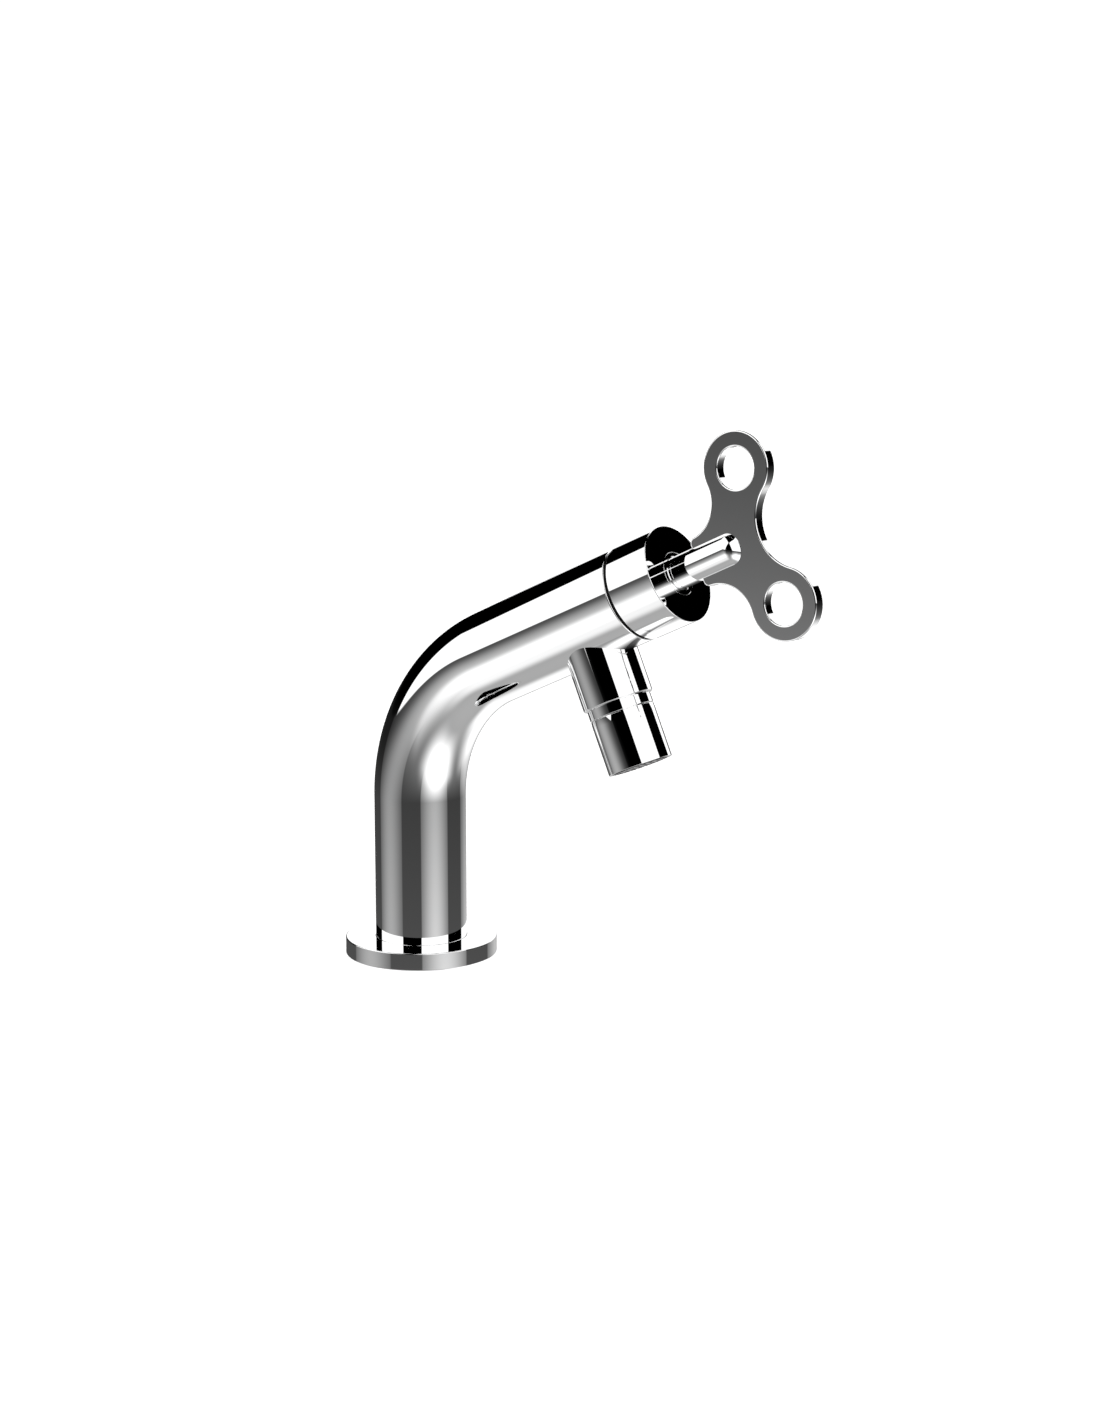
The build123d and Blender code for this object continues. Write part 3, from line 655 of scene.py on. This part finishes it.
faces = turned_faces(END, ARM, rod_runs)
opened = math.asin(window / rod_r)
turns = np.linspace(opened, 2 * math.pi - opened, TURNS)
wall_n = np.outer(np.cos(turns), SIDE) + np.outer(np.sin(turns), UP)
strip, strip_rings = [], []
for at in (screw_at - window, screw_at + window):
    strip_rings.append((np.array(END) + MM * (wall_n * rod_r + np.array(ARM) * at), wall_n))
skin(strip_rings, strip)
faces += strip[:-1]
turns = np.linspace(0, 2 * math.pi, 97)[:-1]
cos_t, sin_t = np.cos(turns), np.sin(turns)
to_square = window / np.maximum(abs(cos_t), abs(sin_t))
patch = []
for share in np.linspace(0, 1, 6):
    away = screw_r + (to_square - screw_r) * share
    patch.append(on_rod(screw_at + away * cos_t, away * sin_t, rod_r))
skin(patch, faces)
inwards = -(np.outer(cos_t, ARM) + np.outer(sin_t, UP))
hole_at, hole_up = screw_at + screw_r * cos_t, screw_r * sin_t
skin([(on_rod(hole_at, hole_up, r)[0], inwards) for r in (rod_r, socket_r)], faces)
add_piece("rod_turned", faces, "handle", ["handle_rod"])

# Key plate
openings = {o["name"]: o for o in record["physics"]["openings"]}


def middle(name):
    low, high = (Vector(c) for c in openings[name]["box_m"])
    return (low + high) / 2


upper_hole = middle("finger_hole_upper") - END
lobe_at = upper_hole.dot(ARM) / MM
lobe_off = upper_hole.dot(UP) / MM
plate_low, plate_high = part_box("handle_plate")
plate_t = (plate_high.y - plate_low.y) / MM
lobe_r = (plate_high.z - middle("finger_hole_upper").z) / MM - 0.001
plate_start = stations("handle_plate", END, ARM)[0]
hole_r, edge_r, corner_r = 6.2, 0.5, 2.0
neck_at, neck_off, nose_at = 9.7, 18.7, 46.1
neck_r = math.hypot(lobe_at - neck_at, lobe_off - neck_off) - lobe_r
nose_r = math.hypot(lobe_at - nose_at, lobe_off) - lobe_r


def arc(centre, radius, start, end, outward, step=2.0):
    """Points and normals along an arc between angles. outward is -1 where the plate lies outside the arc."""
    count = max(2, int(abs(math.degrees(end - start)) / step) + 1)
    turns = np.linspace(start, end, count)
    normals = np.stack([np.cos(turns), np.sin(turns)], 1)
    return np.array(centre) + normals * radius, normals * outward


def bearing_of(origin, towards):
    return math.atan2(towards[1] - origin[1], towards[0] - origin[0])


# Upper half of the outline, from the rod's side of the neck round to the nose. The corner sits between the
# plate's straight end and the neck's hollow arc.
neck_centre, lobe_centre, nose_centre = (neck_at, neck_off), (lobe_at, lobe_off), (nose_at, 0.0)
corner_at = plate_start + corner_r
corner_off = neck_off - math.sqrt((neck_r + corner_r) ** 2 - (corner_at - neck_at) ** 2)
corner_centre = (corner_at, corner_off)
pieces = [
    arc(corner_centre, corner_r, math.pi, bearing_of(corner_centre, neck_centre), 1, 6.0),
    arc(neck_centre, neck_r, bearing_of(neck_centre, corner_centre),
        bearing_of(neck_centre, lobe_centre), -1),
    arc(lobe_centre, lobe_r, bearing_of(lobe_centre, neck_centre) + 2 * math.pi,
        bearing_of(lobe_centre, nose_centre), 1),
    arc(nose_centre, nose_r, bearing_of(nose_centre, lobe_centre), math.pi, -1),
]
half = np.concatenate([p for p, _ in pieces])
half_n = np.concatenate([n for _, n in pieces])
flip = np.array([1, -1])
outline = np.concatenate([half, (half * flip)[::-1]])
outline_n = np.concatenate([half_n, (half_n * flip)[::-1]])


def plate_ring(points, normals, side, inset, height, lean):
    """Ring of the plate's edge, inset from the outline. Its normals lean from the edge to the face."""
    flat = points - normals * inset
    along, up = flat[:, :1] * np.array(ARM), flat[:, 1:] * np.array(UP)
    spots = np.array(END) + MM * (along + up + height * np.array(SIDE))
    edge = normals[:, :1] * np.array(ARM) + normals[:, 1:] * np.array(UP)
    return spots, edge * math.cos(lean) + side * math.sin(lean) * np.array(SIDE)


def plate_edge(points, normals):
    """Rings from the back face's border, over both rounded edges, to the front face's border."""
    rings = []
    flat = plate_t / 2 - edge_r
    for side in (-1, 1):
        leans = [math.pi / 2 * k / 6 for k in range(7)]
        for lean in reversed(leans) if side < 0 else leans:
            inset, height = edge_r * (1 - math.cos(lean)), side * (flat + edge_r * math.sin(lean))
            rings.append(plate_ring(points, normals, side, inset, height, lean))
    return rings


turns = np.linspace(0, 2 * math.pi, 181)[:-1]
circle = np.stack([np.cos(turns), np.sin(turns)], 1)
loops = [(outline[::-1], outline_n[::-1])]
for sign in (1, -1):
    loops.append((np.array([lobe_at, sign * lobe_off]) + circle * hole_r, -circle))
faces = []
borders = {-1: [], 1: []}
for points, normals in loops:
    keep = [0] + [i for i in range(1, len(points)) if np.linalg.norm(points[i] - points[i - 1]) > 1e-6]
    points, normals = points[keep], normals[keep]
    rings = plate_edge(points, normals)
    skin(rings, faces)
    borders[-1].append(rings[0][0])
    borders[1].append(rings[-1][0])
for side, rings in borders.items():
    spots = [p for ring in rings for p in ring]
    triangles = tessellate_polygon([[Vector(p) for p in ring] for ring in rings])
    facing = np.array(SIDE) * side
    for a, b, c in triangles:
        flat = np.cross(spots[b] - spots[a], spots[c] - spots[a])
        order = (a, b, c) if flat @ facing > 0 else (a, c, b)
        faces.append((tuple(spots[i] for i in order), (facing,) * 3))
add_piece("key_plate", faces, "handle", ["handle_plate"])
